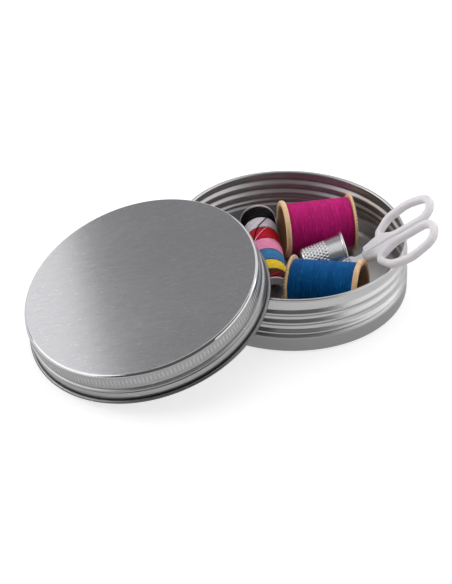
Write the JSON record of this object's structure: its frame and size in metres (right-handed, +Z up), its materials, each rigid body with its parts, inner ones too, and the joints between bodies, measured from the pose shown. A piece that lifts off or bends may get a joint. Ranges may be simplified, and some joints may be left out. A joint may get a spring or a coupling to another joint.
{
  "type": "sewing tin",
  "caption": "Round screw-top aluminium tin lying open with a small sewing kit inside: thread spools, a banded thread tube, a thimble and scissors, its lid leaning beside it.",
  "frame": {"origin": "centre of the flat underside of the tin", "axes": "+Z up out of the open tin; +X towards the side the scissors lie over; the lid leans at the -X, -Y side"},
  "size_m": [0.1488, 0.1268, 0.0419],
  "materials": {
    "tin_metal": "satin drawn sheet",
    "lid_metal": "satin drawn sheet with faint rolling marks",
    "liner_foam": "closed-cell foam disc",
    "spool_wood": "turned, unvarnished",
    "magenta_thread": "satin thread",
    "blue_thread": "satin thread",
    "tube_plastic": "moulded",
    "thimble_metal": "polished, dimpled",
    "blade_steel": "ground",
    "handle_plastic": "moulded, slightly translucent white",
    "band_black": "satin thread",
    "band_white": "satin thread",
    "band_red": "satin thread",
    "band_pink": "satin thread",
    "band_blue": "satin thread",
    "band_yellow": "satin thread",
    "band_brown": "satin thread"
  },
  "bodies": {
    "tin": {"tin_base": "tin_metal"},
    "lid_seal": {"lid_liner": "liner_foam"},
    "lid": {"lid_shell": "lid_metal"},
    "magenta_reel": {"magenta_spool": "spool_wood", "magenta_thread": "magenta_thread"},
    "blue_reel": {"blue_spool": "spool_wood", "blue_thread": "blue_thread"},
    "tube_reel": {"thread_tube": "tube_plastic", "thread_band_black": "band_black", "thread_band_white": "band_white", "thread_band_red": "band_red", "thread_band_pink": "band_pink", "thread_band_blue": "band_blue", "thread_band_yellow": "band_yellow", "thread_band_brown": "band_brown"},
    "thimble": {"thimble": "thimble_metal"},
    "scissors_front": {"scissors_front_blade": "blade_steel", "scissors_front_handle": "handle_plastic", "scissors_rivet": "blade_steel"},
    "scissors_back": {"scissors_back_blade": "blade_steel", "scissors_back_handle": "handle_plastic"}
  },
  "joints": [
    {"name": "lid_lift", "type": "slide", "parent": "tin", "child": "lid_seal", "axis": [-0.2709, -0.1746, 0.9466], "range_m": [0, 0.04]},
    {"name": "lid_turn", "type": "hinge", "parent": "lid_seal", "child": "lid", "pos_m": [-0.05069, -0.03795, 0.01462], "axis": [-0.2709, -0.1746, 0.9466], "continuous": true},
    {"name": "magenta_lift", "type": "slide", "parent": "tin", "child": "magenta_reel", "axis": [0, 0, 1], "range_m": [0, 0.045]},
    {"name": "blue_lift", "type": "slide", "parent": "tin", "child": "blue_reel", "axis": [-0.0986, -0.138, 0.9855], "range_m": [0, 0.055]},
    {"name": "tube_lift", "type": "slide", "parent": "tin", "child": "tube_reel", "axis": [-0.0984, 0.1476, 0.9841], "range_m": [0, 0.03]},
    {"name": "thimble_lift", "type": "slide", "parent": "tin", "child": "thimble", "axis": [0, 0, 1], "range_m": [0, 0.035]},
    {"name": "scissors_lift", "type": "slide", "parent": "tin", "child": "scissors_front", "axis": [0.7658, -0.019, 0.6428], "range_m": [0, 0.065]},
    {"name": "scissors_open", "type": "hinge", "parent": "scissors_front", "child": "scissors_back", "pos_m": [0.02157, -0.00867, 0.0155], "axis": [-0.6371, -0.1549, 0.7551], "range_deg": [0, 8]}
  ]
}
